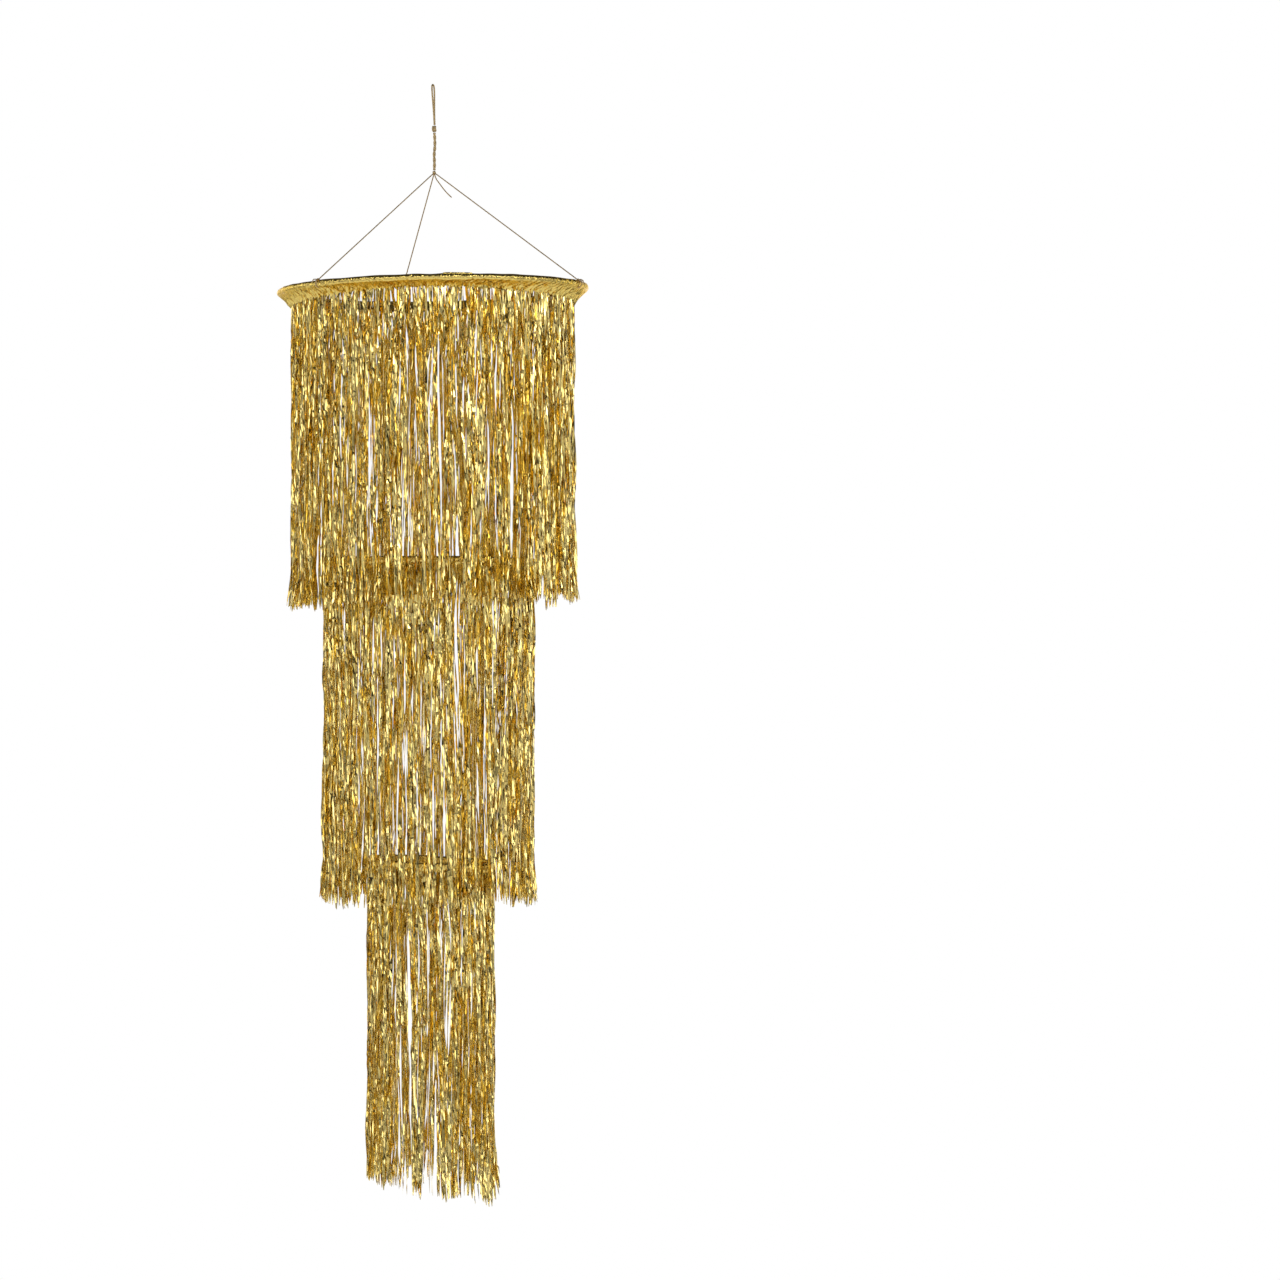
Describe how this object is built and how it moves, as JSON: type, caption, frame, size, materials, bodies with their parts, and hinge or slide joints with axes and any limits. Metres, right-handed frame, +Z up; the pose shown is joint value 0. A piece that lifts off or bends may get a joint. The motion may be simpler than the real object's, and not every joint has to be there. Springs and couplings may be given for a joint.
{
  "type": "hanging foil fringe chandelier",
  "caption": "Hanging chandelier of gold foil fringe in stepped round tiers on wire hoops, hung by knotted metallic cord from a loop.",
  "frame": {"origin": "inside top of the hanging loop, where the ceiling hook carries it", "axes": "+Z up along the object's length, +X to the right and -Y towards someone who faces its front; the three cords leave the middle 17 degrees towards the front of +X and every 120 degrees from there"},
  "size_m": [0.336, 0.336, 1.2203],
  "materials": {
    "foil_fringe": "polished",
    "foil_header": "polished",
    "metallic_cord": "satin",
    "hoop_wire": "satin"
  },
  "bodies": {
    "loop": {"hanging_loop": "metallic_cord"},
    "loop_knot": {"loop_knot": "metallic_cord"},
    "stem": {"twisted_stem": "metallic_cord"},
    "crown": {"gathering_knot": "metallic_cord", "cord_tail": "metallic_cord", "suspension_cord_front_right": "metallic_cord", "suspension_cord_back": "metallic_cord", "suspension_cord_front_left": "metallic_cord"},
    "top_tier": {"top_hoop": "hoop_wire", "top_header": "foil_header", "top_fringe_outer": "foil_fringe", "top_fringe_inner": "foil_fringe", "suspension_tie_front_right": "metallic_cord", "suspension_tie_back": "metallic_cord", "suspension_tie_front_left": "metallic_cord", "middle_link_knot_front_right": "metallic_cord", "middle_link_knot_back": "metallic_cord", "middle_link_knot_front_left": "metallic_cord", "middle_link_cord_front_right": "metallic_cord", "middle_link_cord_back": "metallic_cord", "middle_link_cord_front_left": "metallic_cord"},
    "middle_tier": {"middle_hoop": "hoop_wire", "middle_header": "foil_header", "middle_fringe_outer": "foil_fringe", "middle_fringe_inner": "foil_fringe", "middle_tie_front_right": "metallic_cord", "middle_tie_back": "metallic_cord", "middle_tie_front_left": "metallic_cord", "bottom_link_knot_front_right": "metallic_cord", "bottom_link_knot_back": "metallic_cord", "bottom_link_knot_front_left": "metallic_cord", "bottom_link_cord_front_right": "metallic_cord", "bottom_link_cord_back": "metallic_cord", "bottom_link_cord_front_left": "metallic_cord"},
    "bottom_tier": {"bottom_hoop": "hoop_wire", "bottom_header": "foil_header", "bottom_fringe_outer": "foil_fringe", "bottom_fringe_inner": "foil_fringe", "bottom_tie_front_right": "metallic_cord", "bottom_tie_back": "metallic_cord", "bottom_tie_front_left": "metallic_cord"}
  },
  "joints": [
    {"name": "swing_front_back", "type": "hinge", "parent": "loop", "child": "loop_knot", "pos_m": [0, 0, -0.0474], "axis": [1, 0, 0], "range_deg": [-25, 25]},
    {"name": "cord_twist", "type": "hinge", "parent": "loop_knot", "child": "stem", "pos_m": [0, 0, -0.0474], "axis": [0, 0, 1], "range_deg": [-180, 180]},
    {"name": "swing_side", "type": "hinge", "parent": "stem", "child": "crown", "pos_m": [0, 0, -0.0984], "axis": [0, 1, 0], "range_deg": [-25, 25]},
    {"name": "top_lift", "type": "slide", "parent": "crown", "child": "top_tier", "axis": [0, 0, 1], "range_m": [0, 0.1], "deforming": ["suspension_cord_front_right", "suspension_cord_back", "suspension_cord_front_left"]},
    {"name": "middle_lift", "type": "slide", "parent": "top_tier", "child": "middle_tier", "axis": [0, 0, 1], "range_m": [0, 0.27], "deforming": ["middle_link_cord_front_right", "middle_link_cord_back", "middle_link_cord_front_left"]},
    {"name": "bottom_lift", "type": "slide", "parent": "middle_tier", "child": "bottom_tier", "axis": [0, 0, 1], "range_m": [0, 0.305], "deforming": ["bottom_link_cord_front_right", "bottom_link_cord_back", "bottom_link_cord_front_left"]}
  ]
}
